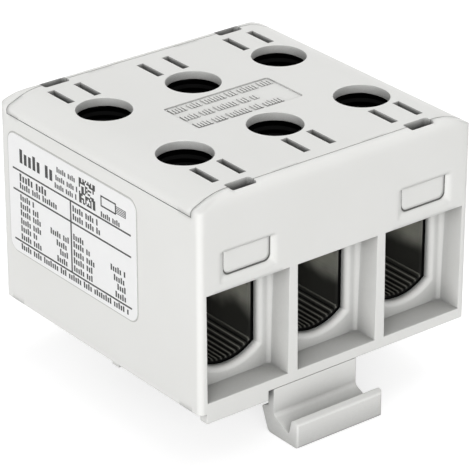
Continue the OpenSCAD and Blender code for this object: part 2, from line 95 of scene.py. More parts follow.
def linear(hex_code: str) -> Colour:
    """Turns an sRGB colour into the linear values that shaders take.

    Args:
        hex_code: Colour as "#RRGGBB".

    Returns:
        Linear red, green and blue, and an alpha of 1.
    """
    def channel(start: int) -> float:
        """Turns one channel linear."""
        value = int(hex_code[start:start + 2], 16) / 255
        return value / 12.92 if value <= 0.04045 else ((value + 0.055) / 1.055) ** 2.4

    return channel(1), channel(3), channel(5), 1.0


def per_metre(size_mm: float) -> float:
    """Gives the texture scale at which one feature is size_mm wide."""
    return 1 / (size_mm * MM)


def add_node(
    tree: NodeTree, kind: str, settings: Mapping[str | int, object] | None = None,
    links: Mapping[str | int, NodeSocket | Node] | None = None,
) -> Node:
    """Adds one shader node with its settings and links.

    Args:
        tree: Node tree that the node joins.
        kind: Type name of the node, without "ShaderNode" in front.
        settings: Values by the name of a property, or by the name or number of an input.
        links: Output sockets by the name or number of the input that each feeds; a node
            stands for its first output.

    Returns:
        The new node.
    """
    node = tree.nodes.new(f"ShaderNode{kind}")
    for name, value in (settings or {}).items():
        if isinstance(name, str) and hasattr(node, name):
            setattr(node, name, value)
        else:
            node.inputs[name].default_value = value
    for name, source in (links or {}).items():
        socket = source.outputs[0] if isinstance(source, Node) else source
        tree.links.new(socket, node.inputs[name])
    return node


class Finish:
    """A material named for what it is made of and how."""

    name: str

    def build(self) -> Material:
        """Makes the material.

        Returns:
            The material.
        """
        material = bpy.data.materials.new(self.name)
        material.use_nodes = True
        tree = material.node_tree
        tree.nodes.clear()
        place = add_node(tree, "TexCoord").outputs["Object"]
        add_node(tree, "OutputMaterial", {}, {"Surface": self.shade(tree, place)})
        return material

    def shade(self, tree: NodeTree, place: NodeSocket) -> Node:
        """Adds the nodes that give the finish its look.

        Args:
            tree: Node tree of the material.
            place: Position on the part.

        Returns:
            The node whose first output is the finished shader.
        """
        raise NotImplementedError


@dataclass(frozen=True)
class MouldedPlastic(Finish):
    """Glass-filled polyamide, injection moulded in a spark-eroded tool.

    The eroded tool leaves a fine even grain, which gives the eye a soft satin
    sheen without any mirror image; the flow of the melt leaves faint clouds in
    the light grey, and every edge has the small radius of its mould.  Recesses
    get painted shade: the colour darkens where ambient occlusion finds walls
    close by, in the entry recesses, the holes and under the housing.
    """

    name: str = "polyamide_injection_moulded"
    colour: str = "#DEDEDC"
    cloud_colour: str = "#DADAD7"
    cloud_mm: float = 14.0
    # Real grain is about 0.05 mm; it is drawn coarser so that it shows at all
    grain_mm: float = 0.35
    grain_depth_mm: float = 0.006
    edge_mm: float = 0.22
    # The dish round each latch window, the inner corners of the entry recesses and
    # the brow at each upper corner have softer edges; the sizes say where these lie
    dish_edge_mm: float = 1.1
    dish_at_mm: tuple[float, float] = (POLE_PITCH_MM, 27.0)
    dish_half_mm: tuple[float, float] = (7.4, 4.4)
    corner_edge_mm: float = 2.0
    corner_from_mm: float = 7.1
    corner_at_mm: tuple[float, float] = (25.2, 1.8)
    brow_edge_mm: float = 1.3
    brow_from_mm: Point = (22.0, 27.0, 34.0)
    # How far the painted shade of a recess reaches; it is shorter below the housing, where only
    # the clip's channel is narrow
    painted_shade_reach_mm: float = 15.0
    foot_painted_shade_reach_mm: float = 12.0
    foot_from_mm: float = -3.0
    foot_to_mm: float = 1.0
    # Painted shade: the colour darkens down to this tone in the deepest recesses
    recess_painted_shade_tone: float = 0.12
    recess_shut_at: float = 0.14
    recess_open_at: float = 0.77
    roughness: float = 0.56
    roughness_spread: float = 0.05
    specular: float = 0.4
    ior: float = 1.53

    def shade(self, tree: NodeTree, place: NodeSocket) -> Node:
        """Adds the nodes of the plastic.

        Args:
            tree: Node tree of the material.
            place: Position on the part.

        Returns:
            The shader.
        """
        clouds = add_node(
            tree, "TexNoise", {"Scale": per_metre(self.cloud_mm), "Detail": 3.0},
            {"Vector": place})
        grain = add_node(
            tree, "TexNoise", {"Scale": per_metre(self.grain_mm), "Roughness": 0.6},
            {"Vector": place})
        tone = add_node(
            tree, "Mix",
            {"data_type": "RGBA", FIRST: linear(self.cloud_colour), SECOND: linear(self.colour)},
            {0: clouds})
        # Painted shade in recesses, found by ambient occlusion
        height = add_node(tree, "SeparateXYZ", {}, {"Vector": place}).outputs["Z"]
        reach = add_node(
            tree, "MapRange",
            {"From Min": self.foot_from_mm * MM, "From Max": self.foot_to_mm * MM,
             "To Min": self.foot_painted_shade_reach_mm * MM, "To Max": self.painted_shade_reach_mm * MM},
            {"Value": height})
        hollow = add_node(tree, "AmbientOcclusion", {"samples": LOOKING_RAYS}, {"Distance": reach})
        painted_recess_shade = add_node(
            tree, "MapRange",
            {"From Min": self.recess_shut_at, "From Max": self.recess_open_at,
             "To Min": self.recess_painted_shade_tone},
            {"Value": hollow.outputs["AO"]})
        shaded = add_node(
            tree, "Mix", {"data_type": "RGBA", "blend_type": "MULTIPLY", 0: 1.0},
            {FIRST: tone.outputs[MIXED], SECOND: painted_recess_shade})
        sheen = add_node(
            tree, "MapRange",
            {"To Min": self.roughness - self.roughness_spread,
             "To Max": self.roughness + self.roughness_spread},
            {"Value": grain})
        edges = add_node(
            tree, "Bevel", {"samples": LOOKING_RAYS}, {"Radius": self.edge_radius(tree, place)})
        relief = add_node(
            tree, "Bump", {"Strength": 0.35, "Distance": self.grain_depth_mm * MM},
            {"Height": grain, "Normal": edges})
        return add_node(
            tree, "BsdfPrincipled", {"IOR": self.ior, "Specular IOR Level": self.specular},
            {"Base Color": shaded.outputs[MIXED], "Roughness": sheen, "Normal": relief})

    def edge_radius(self, tree: NodeTree, place: NodeSocket) -> Node:
        """Adds the nodes that give each spot the radius of its mould's edges.

        Args:
            tree: Node tree of the material.
            place: Position on the part.

        Returns:
            The node that gives the radius, in metres.
        """
        axes = add_node(tree, "SeparateXYZ", {}, {"Vector": place})
        height = axes.outputs["Z"]
        from_middle = add_node(tree, "Math", {"operation": "ABSOLUTE"}, {0: axes.outputs["X"]})
        from_end = add_node(tree, "Math", {"operation": "ABSOLUTE"}, {0: axes.outputs["Y"]})
        across = add_node(
            tree, "Math",
            {"operation": "WRAP", 1: POLE_PITCH_MM / 2 * MM, 2: -POLE_PITCH_MM / 2 * MM},
            {0: axes.outputs["X"]})
        in_pole = add_node(tree, "Math", {"operation": "ABSOLUTE"}, {0: across})
        zones = (
            (self.dish_edge_mm, (
                ("COMPARE", from_middle, self.dish_at_mm[0], self.dish_half_mm[0]),
                ("COMPARE", height, self.dish_at_mm[1], self.dish_half_mm[1]))),
            (self.corner_edge_mm, (
                ("GREATER_THAN", in_pole, self.corner_from_mm, 0.0),
                ("COMPARE", from_end, *self.corner_at_mm))),
            (self.brow_edge_mm, (
                ("GREATER_THAN", from_middle, self.brow_from_mm[0], 0.0),
                ("GREATER_THAN", from_end, self.brow_from_mm[1], 0.0),
                ("GREATER_THAN", height, self.brow_from_mm[2], 0.0))),
        )
        # A spot that passes all tests of a zone takes that zone's radius, if it is the widest
        widest: dict[int, Node] = {}
        for edge_mm, tests in zones:
            passed: dict[int, Node] = {}
            for operation, measure, at_mm, within_mm in tests:
                test = add_node(
                    tree, "Math", {"operation": operation, 1: at_mm * MM, 2: within_mm * MM},
                    {0: measure})
                passed = {1: add_node(
                    tree, "Math", {"operation": "MULTIPLY", 1: edge_mm * MM}, {0: test, **passed})}
            widest = {1: add_node(
                tree, "Math", {"operation": "MAXIMUM", 1: self.edge_mm * MM},
                {0: passed[1], **widest})}
        return widest[1]


@dataclass(frozen=True)
class PlatedExtrusion(Finish):
    """Tin-plated aluminium, extruded and sawn to length.

    Drawing through the die leaves fine lines along the bar, so the plated
    walls smear their reflections lengthways.  Light and shade are painted into
    the colour: painted shade on the lower half of the walls and in the grooves,
    a painted highlight on each ridge of the floor and a painted reflection as a
    soft patch high on each wall.  The sawn ends and the threads of the screw
    holes are painted nearly black as shade, which frames each cable way.
    """

    name: str = "aluminium_extruded_tin_plated"
    colour: str = "#DEDED4"
    dull_colour: str = "#BDBDB2"
    painted_shade_colour: str = "#101010"
    dark_roughness: float = 0.5
    # How squarely a face looks along the bar: open walls, and sawn ends, which are painted nearly
    # black as shade
    wall_slope: float = 0.45
    end_slope: float = 0.8
    # Real die lines are finer than 0.02 mm; they are drawn wide enough to show
    line_mm: float = 0.16
    line_depth_mm: float = 0.004
    line_stretch: float = 0.02
    blotch_mm: float = 7.0
    roughness: float = 0.72
    roughness_spread: float = 0.08
    # The threads of the screw holes lie above this height; there the metal is painted nearly black
    # as shade
    thread_from_mm: float = 19.0
    thread_pitch_mm: float = 1.5
    # Painted shade covers the walls up to the first height, and a painted reflection lights them
    # from the second
    painted_patch_from_mm: float = 10.5
    painted_patch_to_mm: float = 15.5
    wall_painted_shade_tone: float = 0.12
    painted_patch_waves_mm: float = 5.0
    # The grooved floor ends at this height; between two grooves a ridge gets a painted highlight
    floor_to_mm: float = 7.3
    ridge_painted_highlight: float = 0.6
    groove_pitch_mm: float = 1.0
    ridge_from_mm: float = 0.34
    ridge_to_mm: float = 0.48
    ridge_foot_tone: float = 0.1
    # The painted reflection on the walls is dimmer at the mouth of the cable way and brightens
    # further in
    mouth_from_mm: float = 22.4
    mouth_to_mm: float = 16.0
    mouth_tone: float = 0.65
    # Painted shade where walls lie close, as in the grooves
    groove_reach_mm: float = 1.2
    groove_tone: float = 0.02
    groove_shut_at: float = 0.6
    groove_open_at: float = 0.97

    def shade(self, tree: NodeTree, place: NodeSocket) -> Node:
        """Adds the nodes of the extruded bar.

        Args:
            tree: Node tree of the material.
            place: Position on the part.

        Returns:
            The shader.
        """
        drawn = add_node(
            tree, "Mapping", {"Scale": (1.0, self.line_stretch, 1.0)}, {"Vector": place})
        lines = add_node(
            tree, "TexNoise", {"Scale": per_metre(self.line_mm), "Detail": 3.0, "Roughness": 0.6},
            {"Vector": drawn})
        blotches = add_node(
            tree, "TexNoise", {"Scale": per_metre(self.blotch_mm)},
            {"Vector": place})
        tone = add_node(
            tree, "Mix",
            {"data_type": "RGBA", FIRST: linear(self.dull_colour), SECOND: linear(self.colour)},
            {0: lines})
        sheen = add_node(
            tree, "MapRange",
            {"To Min": self.roughness - self.roughness_spread,
             "To Max": self.roughness + self.roughness_spread},
            {"Value": lines})
        # Painted light and shade inside the cable ways
        light = self.painted_light_and_shade(tree, place, blotches)
        painted_light_tone = add_node(
            tree, "Mix", {"data_type": "RGBA", "blend_type": "MULTIPLY", 0: 1.0},
            {FIRST: tone.outputs[MIXED], SECOND: light})
        height = add_node(tree, "SeparateXYZ", {}, {"Vector": place}).outputs["Z"]
        rings = add_node(
            tree, "Math", {"operation": "PINGPONG", 1: self.thread_pitch_mm * MM / 2}, {0: height})
        threaded = add_node(
            tree, "Math", {"operation": "GREATER_THAN", 1: self.thread_from_mm * MM}, {0: height})
        thread = add_node(tree, "Math", {"operation": "MULTIPLY"}, {0: rings, 1: threaded})
        facing = add_node(tree, "TexCoord").outputs["Normal"]
        along = add_node(tree, "SeparateXYZ", {}, {"Vector": facing}).outputs["Y"]
        steep = add_node(tree, "Math", {"operation": "ABSOLUTE"}, {0: along})
        sawn = add_node(
            tree, "MapRange", {"From Min": self.wall_slope, "From Max": self.end_slope},
            {"Value": steep})
        # Painted shade: the sawn ends and the threads of the screw holes get the near-black colour
        dark = add_node(tree, "Math", {"operation": "MAXIMUM"}, {0: sawn, 1: threaded})
        darkened = add_node(
            tree, "Mix", {"data_type": "RGBA", SECOND: linear(self.painted_shade_colour)},
            {0: dark, FIRST: painted_light_tone.outputs[MIXED]})
        dulled = add_node(
            tree, "Mix", {"data_type": "FLOAT", SECOND_VALUE: self.dark_roughness},
            {0: dark, FIRST_VALUE: sheen})
        thread_relief = add_node(
            tree, "Bump", {"Strength": 1.0, "Distance": 1.0}, {"Height": thread})
        line_relief = add_node(
            tree, "Bump", {"Strength": 0.6, "Distance": self.line_depth_mm * MM},
            {"Height": lines, "Normal": thread_relief})
        return add_node(
            tree, "BsdfPrincipled", {"Metallic": 1.0},
            {"Base Color": darkened.outputs[MIXED], "Roughness": dulled, "Normal": line_relief})

    def painted_light_and_shade(self, tree: NodeTree, place: NodeSocket, blotches: Node) -> Node:
        """Adds the nodes that paint light and shade into each spot of a cable way.

        Args:
            tree: Node tree of the material.
            place: Position on the part.
            blotches: Noise that makes the edge of the painted shade on the walls uneven.

        Returns:
            The node that gives 0 for black and 1 for the metal's full colour.
        """
        axes = add_node(tree, "SeparateXYZ", {}, {"Vector": place})
        height = axes.outputs["Z"]
        inwards = add_node(tree, "Math", {"operation": "ABSOLUTE"}, {0: axes.outputs["Y"]})
        mouth = add_node(
            tree, "MapRange",
            {"From Min": self.mouth_from_mm * MM, "From Max": self.mouth_to_mm * MM,
             "To Min": self.mouth_tone},
            {"Value": inwards})
        waves = add_node(
            tree, "Math", {"operation": "MULTIPLY_ADD", 1: self.painted_patch_waves_mm * MM},
            {0: blotches, 2: height})
        half_wave = self.painted_patch_waves_mm / 2
        # Painted shade low on the walls and a painted reflection high on them
        wall = add_node(
            tree, "MapRange",
            {"interpolation_type": "SMOOTHSTEP",
             "From Min": (self.painted_patch_from_mm + half_wave) * MM,
             "From Max": (self.painted_patch_to_mm + half_wave) * MM, "To Min": self.wall_painted_shade_tone},
            {"Value": waves})
        patch = add_node(tree, "Math", {"operation": "MULTIPLY"}, {0: wall, 1: mouth})
        # Painted highlights on the ridges of the floor
        on_floor = add_node(
            tree, "Math", {"operation": "LESS_THAN", 1: self.floor_to_mm * MM}, {0: height})
        across = add_node(
            tree, "Math",
            {"operation": "WRAP", 1: POLE_PITCH_MM / 2 * MM, 2: -POLE_PITCH_MM / 2 * MM},
            {0: axes.outputs["X"]})
        from_groove = add_node(
            tree, "Math", {"operation": "PINGPONG", 1: self.groove_pitch_mm / 2 * MM}, {0: across})
        ridge_top = add_node(
            tree, "MapRange",
            {"From Min": self.ridge_from_mm * MM, "From Max": self.ridge_to_mm * MM,
             "To Min": self.ridge_foot_tone, "To Max": self.ridge_painted_highlight},
            {"Value": from_groove})
        floor = add_node(tree, "Math", {"operation": "MULTIPLY"}, {0: on_floor, 1: ridge_top})
        bright = add_node(tree, "Math", {"operation": "MAXIMUM"}, {0: patch, 1: floor})
        # Painted shade where walls lie close
        hollow = add_node(
            tree, "AmbientOcclusion",
            {"samples": LOOKING_RAYS, "Distance": self.groove_reach_mm * MM})
        shade = add_node(
            tree, "MapRange",
            {"From Min": self.groove_shut_at, "From Max": self.groove_open_at,
             "To Min": self.groove_tone},
            {"Value": hollow.outputs["AO"]})
        return add_node(tree, "Math", {"operation": "MULTIPLY"}, {0: bright, 1: shade})


@dataclass(frozen=True)
class TurnedPlating(Finish):
    """Tin-plated aluminium, turned and thread-rolled.

    Turning leaves faint rings round the axis, and the screws are painted a
    little darker and softer than bright metal, as shade of the deep holes they sit in.
    """

    name: str = "aluminium_turned_tin_plated"
    # Darker than the bars' plating: painted shade of the deep screw holes
    colour: str = "#6A6A64"
    worn_colour: str = "#8B8B84"
    blotch_mm: float = 1.6
    # Tool marks are about 0.1 mm apart; they are drawn at twice that to show
    mark_mm: float = 0.2
    mark_depth_mm: float = 0.003
    roughness: float = 0.33

    def shade(self, tree: NodeTree, place: NodeSocket) -> Node:
        """Adds the nodes of the screws.

        Args:
            tree: Node tree of the material.
            place: Position on the part.

        Returns:
            The shader.
        """
        blotches = add_node(
            tree, "TexNoise", {"Scale": per_metre(self.blotch_mm), "Detail": 4.0},
            {"Vector": place})
        tone = add_node(
            tree, "Mix",
            {"data_type": "RGBA", FIRST: linear(self.colour), SECOND: linear(self.worn_colour)},
            {0: blotches})
        marks = add_node(
            tree, "TexWave",
            {"bands_direction": "Z", "Scale": per_metre(self.mark_mm) / (2 * math.pi),
             "Distortion": 0.6, "Detail": 1.0},
            {"Vector": place})
        relief = add_node(
            tree, "Bump", {"Strength": 0.5, "Distance": self.mark_depth_mm * MM},
            {"Height": marks.outputs["Fac"]})
        return add_node(
            tree, "BsdfPrincipled", {"Metallic": 1.0, "Roughness": self.roughness},
            {"Base Color": tone.outputs[MIXED], "Normal": relief})


@dataclass(frozen=True)
class CoatedFilm(Finish):
    """White polyester film, coated for thermal print.

    The coating is smoother than the plastic round it, so the label gives a
    whiter, slightly brighter patch with a very faint orange-peel ripple.
    """

    name: str = "polyester_film_coated"
    colour: str = "#E8E8E8"
    shade_colour: str = "#E4E4E4"
    ripple_mm: float = 1.8
    ripple_depth_mm: float = 0.004
    roughness: float = 0.36
    ior: float = 1.57

    def shade(self, tree: NodeTree, place: NodeSocket) -> Node:
        """Adds the nodes of the film.

        Args:
            tree: Node tree of the material.
            place: Position on the part.

        Returns:
            The shader.
        """
        ripple = add_node(tree, "TexNoise", {"Scale": per_metre(self.ripple_mm)}, {"Vector": place})
        tone = add_node(
            tree, "Mix",
            {"data_type": "RGBA", FIRST: linear(self.shade_colour), SECOND: linear(self.colour)},
            {0: ripple})
        relief = add_node(
            tree, "Bump", {"Strength": 0.4, "Distance": self.ripple_depth_mm * MM},
            {"Height": ripple})
        return add_node(
            tree, "BsdfPrincipled", {"IOR": self.ior, "Roughness": self.roughness},
            {"Base Color": tone.outputs[MIXED], "Normal": relief})


@dataclass(frozen=True)
class TransferInk(Finish):
    """Black resin ribbon, heat-transferred.

    The resin lies on the film in a thin, even, nearly matt layer whose dots
    leave it a touch uneven in density.
    """

    name: str = "resin_ink_heat_transferred"
    colour: str = "#1C1C1C"
    thin_colour: str = "#2A2A2A"
    # Print dots are 0.08 mm; they are drawn at twice that to show
    dot_mm: float = 0.16
    roughness: float = 0.5
    ior: float = 1.5

    def shade(self, tree: NodeTree, place: NodeSocket) -> Node:
        """Adds the nodes of the ink.

        Args:
            tree: Node tree of the material.
            place: Position on the part.

        Returns:
            The shader.
        """
        dots = add_node(tree, "TexVoronoi", {"Scale": per_metre(self.dot_mm)}, {"Vector": place})
        tone = add_node(
            tree, "Mix",
            {"data_type": "RGBA", FIRST: linear(self.colour), SECOND: linear(self.thin_colour)},
            {0: dots})
        return add_node(
            tree, "BsdfPrincipled", {"IOR": self.ior, "Roughness": self.roughness},
            {"Base Color": tone.outputs[MIXED]})


def seen_by_eye(tree: NodeTree) -> Node:
    """Adds the nodes that tell light to the eye, straight or mirrored, from all other light.

    Args:
        tree: Node tree of the floor or of the world.

    Returns:
        The node that gives 1 for what the eye sees and 0 for what only lights the block.
    """
    path = add_node(tree, "LightPath")
    open_or_mirrored = add_node(
        tree, "Math", {"operation": "MAXIMUM"},
        {0: path.outputs["Is Camera Ray"], 1: path.outputs["Is Glossy Ray"]})
    return add_node(
        tree, "Math", {"operation": "MAXIMUM"},
        {0: open_or_mirrored, 1: path.outputs["Is Transmission Ray"]})


@dataclass(frozen=True)
class PaperSweep(Finish):
    """White background paper, matt.

    Its brightness for the camera keeps the ground white, and its plain grey
    for all other light keeps the soft shadow under the block.
    """

    name: str = "paper_matt_white"
    colour: str = "#B4B4B4"
    glow: float = 0.72
    fibre_mm: float = 6.0
    fibre_depth_mm: float = 0.05

    def shade(self, tree: NodeTree, place: NodeSocket) -> Node:
        """Adds the nodes of the paper.

        Args:
            tree: Node tree of the material.
            place: Position on the part.

        Returns:
            The shader.
        """
        fibres = add_node(tree, "TexNoise", {"Scale": per_metre(self.fibre_mm)}, {"Vector": place})
        relief = add_node(
            tree, "Bump", {"Strength": 0.1, "Distance": self.fibre_depth_mm * MM},
            {"Height": fibres})
        paper = add_node(tree, "BsdfDiffuse", {"Color": linear(self.colour)}, {"Normal": relief})
        strength = add_node(
            tree, "Math", {"operation": "MULTIPLY", 1: self.glow}, {0: seen_by_eye(tree)})
        glow = add_node(tree, "Emission", {}, {"Strength": strength})
        return add_node(tree, "AddShader", {}, {0: paper, 1: glow})


# Faces of a box whose corners are counted anticlockwise, below and then above
BLOCK_FACES = ((0, 3, 2, 1), (4, 5, 6, 7), (0, 1, 5, 4), (1, 2, 6, 5), (2, 3, 7, 6), (3, 0, 4, 7))


class MeshPiece:
    """Collects points and faces in millimetres and turns them into one object."""

    def __init__(self, name: str) -> None:
        """Starts an empty piece.

        Args:
            name: Name of the object to be made.
        """
        self.name = name
        self.points: list[Point] = []
        self.faces: list[Face] = []

    def block(self, low: Point, high: Point) -> None:
        """Adds a box.

        Args:
            low: Lowest corner, in millimetres.
            high: Highest corner, in millimetres.
        """
        start = len(self.points)
        for z in (low[2], high[2]):
            self.points += [(low[0], low[1], z), (high[0], low[1], z),
                            (high[0], high[1], z), (low[0], high[1], z)]
        for face in BLOCK_FACES:
            self.faces.append(tuple(start + corner for corner in face))

    def loft(self, rings: Sequence[Sequence[Point]]) -> None:
        """Joins rings of equal length into a skin and closes both of its ends.

        Args:
            rings: Rings of points in millimetres, from the top down, anticlockwise from above.
        """
        start, count = len(self.points), len(rings[0])
        for ring in rings:
            self.points += ring
        for row in range(len(rings) - 1):
            upper, lower = start + row * count, start + (row + 1) * count
            for i in range(count):
                j = (i + 1) % count
                self.faces.append((upper + i, lower + i, lower + j, upper + j))
        self.faces.append(tuple(start + i for i in range(count)))
        last = start + (len(rings) - 1) * count
        self.faces.append(tuple(last + i for i in reversed(range(count))))

    def band(
        self, outlines: Sequence[Sequence[Spot]], lifts: Sequence[float],
        place: Callable[[float, float, float], Point], flip: bool,
    ) -> None:
        """Adds a flat closed band between two outlines.

        Args:
            outlines: Outer and inner outline, of equal length, in millimetres.
            lifts: How far the band's back and its face stand out.
            place: Turns a spot of an outline and a lift into a point of the part.
            flip: Whether the faces turn the other way round.
        """
        (outer, inner), (low, high) = outlines, lifts
        rings = ((outer, low), (outer, high), (inner, high), (inner, low))
        start, count = len(self.points), len(outer)
        for outline, lift in rings:
            self.points += [place(u, v, lift) for u, v in outline]
        for row in range(len(rings)):
            here, there = start + row * count, start + (row + 1) % len(rings) * count
            for i in range(count):
                j = (i + 1) % count
                quad = (here + i, here + j, there + j, there + i)
                self.faces.append(tuple(reversed(quad)) if flip else quad)

    def finish(self, material: Material, smooth_below: float | None = None) -> Object:
        """Makes the object.

        Args:
            material: Material of all its faces.
            smooth_below: Edges that turn by less than this angle, in degrees, are shaded smooth.

        Returns:
            The new object, linked to the scene.
        """
        mesh = bpy.data.meshes.new(self.name)
        mesh.from_pydata([Vector(p) * MM for p in self.points], [], self.faces)
        mesh.materials.append(material)
        if smooth_below is not None:
            for polygon in mesh.polygons:
                polygon.use_smooth = True
            mesh.set_sharp_from_angle(angle=math.radians(smooth_below))
        piece = bpy.data.objects.new(self.name, mesh)
        bpy.context.scene.collection.objects.link(piece)
        return piece


@dataclass(frozen=True)
class Dressing:
    """Solids that share one finish."""

    finish: Finish
    nodes: tuple[str, ...]

    def dress(self) -> Material:
        """Gives the solids their finish.

        Returns:
            The material, for what else is made of it.
        """
        material = self.finish.build()
        for name in self.nodes:
            slots = frame["nodes"][name].data.materials
            slots.clear()
            slots.append(material)
            log.info("%s: %s", name, material.name)
        return material


@dataclass
class ThreadedScrew:
    """One clamping screw with its rolled thread, hexagon socket and domed tip.

    Sizes are in millimetres.
    """

    pole: str
    end: str
    pitch: float = 1.5
    thread_depth: float = 0.75
    chamfer: float = 0.8
    dome: float = 1.4
    socket_flats: float = 5.0
    socket_play: float = 0.1
    socket_depth: float = 5.5
    socket_lead: float = 0.45
    socket_foot: float = 0.96
    cone_depth: float = 1.1
    cone_tip_r: float = 0.2
    flank_slope: float = 2.4
    sides: int = 48
    rows_per_pitch: int = 10
    run_out: float = 1.2
    dome_rows: tuple[float, ...] = (1.0, 0.85, 0.65, 0.45, 0.25, 0.08)
    smooth_below: float = 35.0

    def __post_init__(self) -> None:
        """Reads where the solid stands for which the screw is made."""
        self.node = f"screw_{self.pole}_{self.end}"
        low, high = (Vector(corner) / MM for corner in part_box(self.node))
        self.x, self.y = (low.x + high.x) / 2, (low.y + high.y) / 2
        self.r = (high.x - low.x) / 2
        self.top, self.tip = high.z, low.z

    def ring(self, radius: Callable[[float], float], z: float) -> list[Point]:
        """Gives one ring of points around the screw's axis.

        Args:
            radius: Radius at an angle in radians.
            z: Height of the ring.

        Returns:
            The points of the ring.
        """
        turns = (2 * math.pi * i / self.sides for i in range(self.sides))
        return [(self.x + radius(turn) * math.cos(turn), self.y + radius(turn) * math.sin(turn), z)
                for turn in turns]

    def hexagon(self, angle: float) -> float:
        """Gives the socket's radius at an angle."""
        sixth = math.pi / 3
        return self.socket_flats / 2 / math.cos((angle + sixth / 2) % sixth - sixth / 2)

    def thread(self, z: float) -> Callable[[float], float]:
        """Gives the radius all round the thread at height z.

        Args:
            z: Height above the underside of the housing.

        Returns:
            A function from the angle to the radius.
        """
        ends = min(self.top - self.chamfer - z, z - self.tip - self.dome - self.chamfer)
        deep = self.thread_depth * max(0.0, min(1.0, ends / self.run_out))

        def radius(angle: float) -> float:
            """Gives the radius at an angle."""
            phase = (z / self.pitch - angle / (2 * math.pi)) % 1
            return self.r - deep * max(0.0, 1 - abs(phase - 0.5) * self.flank_slope)

        return radius

    def build(self, material: Material) -> None:
        """Makes the screw and lets it stand for its solid.

        Args:
            material: Material of the screw.
        """
        mouth = self.socket_flats / 2 / math.cos(math.pi / 6) + self.socket_play
        bottom = self.top - self.socket_depth
        shank_top = self.top - self.chamfer
        shank_low = self.tip + self.dome + self.chamfer
        rings = [
            self.ring(lambda turn: self.cone_tip_r, bottom - self.cone_depth),
            self.ring(lambda turn: self.hexagon(turn) * self.socket_foot, bottom),
            self.ring(self.hexagon, bottom + self.socket_play),
            self.ring(self.hexagon, self.top - self.socket_lead),
            self.ring(lambda turn: mouth, self.top),
            self.ring(lambda turn: self.r - self.chamfer, self.top),
        ]
        steps = round((shank_top - shank_low) / self.pitch * self.rows_per_pitch)
        for i in range(steps + 1):
            z = shank_top + (shank_low - shank_top) * i / steps
            rings.append(self.ring(self.thread(z), z))
        tip_r = self.r - self.chamfer
        dome_r = (tip_r ** 2 + self.dome ** 2) / (2 * self.dome)
        for share in self.dome_rows:
            across = tip_r * share
            z = self.tip + dome_r - math.sqrt(dome_r ** 2 - across ** 2)
            rings.append(self.ring(lambda turn, across=across: across, z))
        piece = MeshPiece(f"threaded_{self.node}")
        piece.loft(rings)
        screw = piece.finish(material, self.smooth_below)
        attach(screw, next(b for b, names in frame["record"]["behaviour"]["bodies"].items()
                            if self.node in names))
        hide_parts(self.node)
        log.info("%s: thread of pitch %.1f mm", screw.name, self.pitch)


@dataclass
class ScrewSet:
    """All six clamping screws."""

    finish: TurnedPlating = TurnedPlating()

    def build(self) -> None:
        """Makes the six screws."""
        material = self.finish.build()
        for pole in POLES:
            for end in ENDS:
                ThreadedScrew(pole, end).build(material)


class Weight(Enum):
    """How heavily a line of dummy print is set: height and stroke width in millimetres."""

    FINE = (1.05, 0.36)
    PLAIN = (1.2, 0.41)
    HEAVY = (1.5, 0.54)
    TITLE = (2.7, 0.84)


@dataclass(frozen=True)
class PrintLine:
    """One line of dummy print: plain upright strokes in groups, with no letters in them.

    start and end are distances from the label's left edge and drop is the
    distance of the line's middle below its top edge, in millimetres.
    """

    start: float
    end: float
    drop: float
    weight: Weight = Weight.PLAIN


# Lengths of the groups of strokes, and how tall each stroke is, both used in turn
GROUPS = (5, 4, 7, 3, 6, 4, 8)
HEIGHTS = (1.0, 0.78, 0.78, 1.0, 0.78, 0.9, 0.78, 1.0, 0.78)
# Distance from one stroke to the next, and the extra space between groups, in stroke widths
STROKE_STEP = 1.6
GROUP_SPACE = 1.4


def strokes(start: float, end: float, stroke: float) -> list[tuple[float, float, float]]:
    """Spreads upright strokes along a line.

    Args:
        start: Where the line starts.
        end: Where the line ends.
        stroke: Width of one stroke.

    Returns:
        For each stroke, its two sides and its share of the full height.
    """
    found: list[tuple[float, float, float]] = []
    at, group, left, count = start, 0, GROUPS[0], 0
    while at + stroke <= end:
        found.append((at, at + stroke, HEIGHTS[count % len(HEIGHTS)]))
        at += stroke * STROKE_STEP
        left -= 1
        count += 1
        if left == 0:
            at += stroke * GROUP_SPACE
            group += 1
            left = GROUPS[group % len(GROUPS)]
    return found


